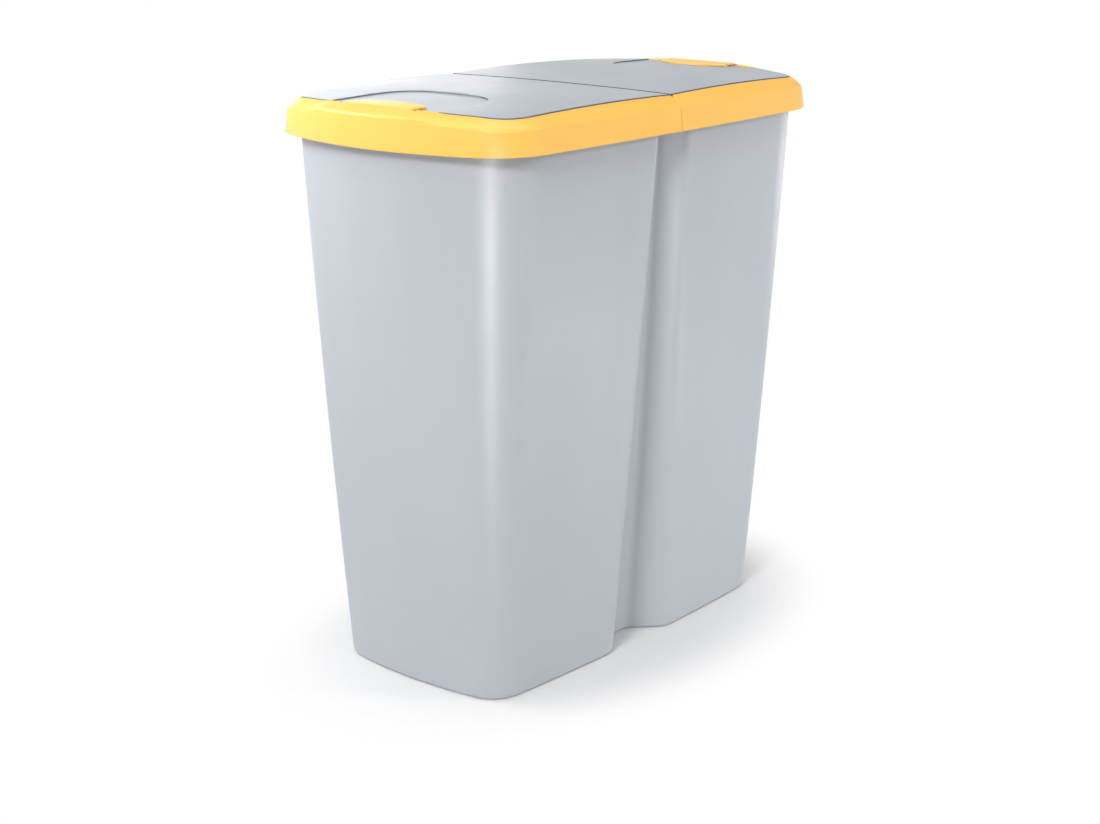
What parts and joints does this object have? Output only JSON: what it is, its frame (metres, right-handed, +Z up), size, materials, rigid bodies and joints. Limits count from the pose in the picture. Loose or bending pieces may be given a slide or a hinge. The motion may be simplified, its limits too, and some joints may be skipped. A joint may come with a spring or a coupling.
{
  "type": "double recycling bin",
  "caption": "Tall tapered bin with two chambers in one tub, a groove between them, yellow lift-off rim frames and grey hinged lids with press latches.",
  "frame": {"origin": "centre of the base, on the floor", "axes": "+X along the long side towards the right chamber, -Y the front long side, +Z up"},
  "size_m": [0.48, 0.278, 0.5021],
  "materials": {
    "tub_grey": "satin moulded plastic",
    "lid_grey": "satin moulded plastic",
    "rim_yellow": "satin moulded plastic",
    "pin_grey": "plain moulded plastic"
  },
  "bodies": {
    "tub": {"tub": "tub_grey"},
    "frame_left": {"frame_left": "rim_yellow"},
    "lid_left": {"lid_left": "lid_grey", "hinge_pin_left_back": "pin_grey", "hinge_pin_left_front": "pin_grey"},
    "latch_left": {"latch_left": "rim_yellow"},
    "frame_right": {"frame_right": "rim_yellow"},
    "lid_right": {"lid_right": "lid_grey", "hinge_pin_right_back": "pin_grey", "hinge_pin_right_front": "pin_grey"},
    "latch_right": {"latch_right": "rim_yellow"}
  },
  "joints": [
    {"name": "frame_left_lift", "type": "slide", "parent": "tub", "child": "frame_left", "axis": [0, 0, 1], "range_m": [0, 0.08]},
    {"name": "lid_left_hinge", "type": "hinge", "parent": "frame_left", "child": "lid_left", "pos_m": [-0.0112, 0, 0.4934], "axis": [0, 1, 0], "range_deg": [0, 85]},
    {"name": "latch_left_press", "type": "hinge", "parent": "lid_left", "child": "latch_left", "pos_m": [-0.2044, 0, 0.4973], "axis": [0, -1, 0], "range_deg": [0, 8], "stiffness_Nm_per_rad": 0.5, "springref_deg": -2.86},
    {"name": "frame_right_lift", "type": "slide", "parent": "tub", "child": "frame_right", "axis": [0, 0, 1], "range_m": [0, 0.08]},
    {"name": "lid_right_hinge", "type": "hinge", "parent": "frame_right", "child": "lid_right", "pos_m": [0.0112, 0, 0.4934], "axis": [0, -1, 0], "range_deg": [0, 85]},
    {"name": "latch_right_press", "type": "hinge", "parent": "lid_right", "child": "latch_right", "pos_m": [0.2044, 0, 0.4973], "axis": [0, 1, 0], "range_deg": [0, 8], "stiffness_Nm_per_rad": 0.5, "springref_deg": -2.86}
  ]
}
